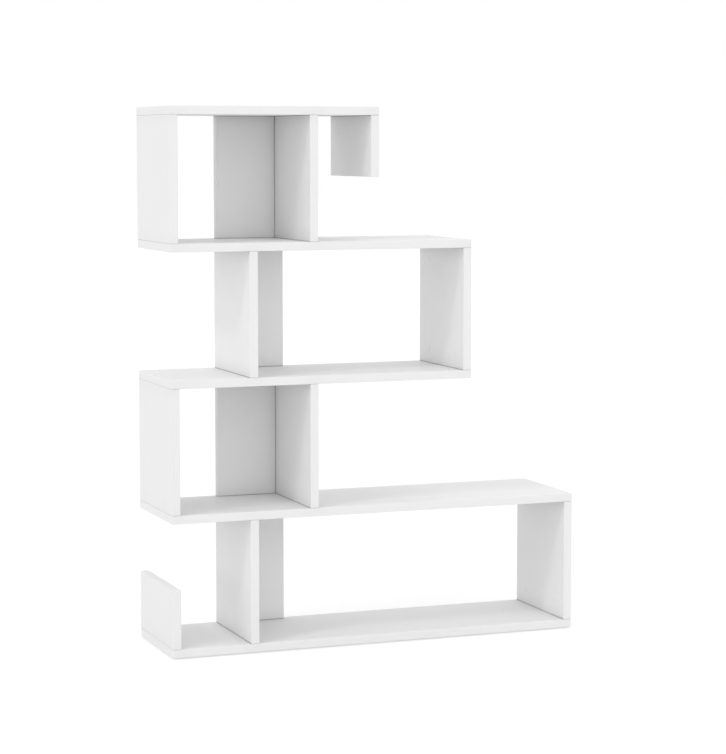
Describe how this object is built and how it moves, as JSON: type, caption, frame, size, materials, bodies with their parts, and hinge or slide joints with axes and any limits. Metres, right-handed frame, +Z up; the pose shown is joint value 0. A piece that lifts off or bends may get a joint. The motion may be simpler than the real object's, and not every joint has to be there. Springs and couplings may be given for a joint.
{
  "type": "bookshelf",
  "caption": "Open staircase bookshelf in white board: full-depth shelves step down to the right, with offset dividers, narrow back panels, a low upstand and a hanging end panel.",
  "frame": {"origin": "on the floor under the middle of the lowest shelf, the bottom centre of the whole object's box", "axes": "+X to the right as seen from the front, +Y from the front to the wall, +Z up"},
  "size_m": [0.92, 0.25, 1.153],
  "materials": {
    "white_board": "white melamine-faced particleboard, satin with a fine pearl texture",
    "edge_band": "white glued edge banding, satin",
    "zinc": "die-cast zinc, dull",
    "plated_steel": "zinc-plated steel, semi-bright",
    "white_plastic": "moulded white plastic, satin",
    "beech": "turned beech, unfinished"
  },
  "bodies": {
    "root": {"bottom_shelf": "white_board", "second_shelf": "white_board", "third_shelf": "white_board", "fourth_shelf": "white_board", "top_shelf": "white_board", "bay_1_upstand": "white_board", "bay_1_divider": "white_board", "bay_1_right_side": "white_board", "bay_1_back_panel": "white_board", "bay_2_left_side": "white_board", "bay_2_divider": "white_board", "bay_2_back_panel": "white_board", "bay_3_divider": "white_board", "bay_3_right_side": "white_board", "bay_3_back_panel": "white_board", "bay_4_left_side": "white_board", "bay_4_divider": "white_board", "bay_4_drop_panel": "white_board", "bay_4_back_panel": "white_board", "bottom_shelf_bands": "edge_band", "second_shelf_bands": "edge_band", "third_shelf_bands": "edge_band", "fourth_shelf_bands": "edge_band", "top_shelf_bands": "edge_band", "bay_1_upstand_bands": "edge_band", "bay_1_divider_bands": "edge_band", "bay_1_right_side_bands": "edge_band", "bay_1_back_panel_band": "edge_band", "bay_2_left_side_bands": "edge_band", "bay_2_divider_bands": "edge_band", "bay_2_back_panel_band": "edge_band", "bay_3_divider_bands": "edge_band", "bay_3_right_side_bands": "edge_band", "bay_3_back_panel_band": "edge_band", "bay_4_left_side_bands": "edge_band", "bay_4_divider_bands": "edge_band", "bay_4_drop_panel_bands": "edge_band", "bay_4_back_panel_band": "edge_band", "cam_housings": "zinc", "cam_bolts": "plated_steel", "cam_cover_caps": "white_plastic", "wooden_dowels": "beech", "floor_glides": "white_plastic", "glide_nails": "plated_steel", "wall_brackets": "plated_steel", "wall_bracket_screws": "plated_steel"}
  },
  "joints": []
}
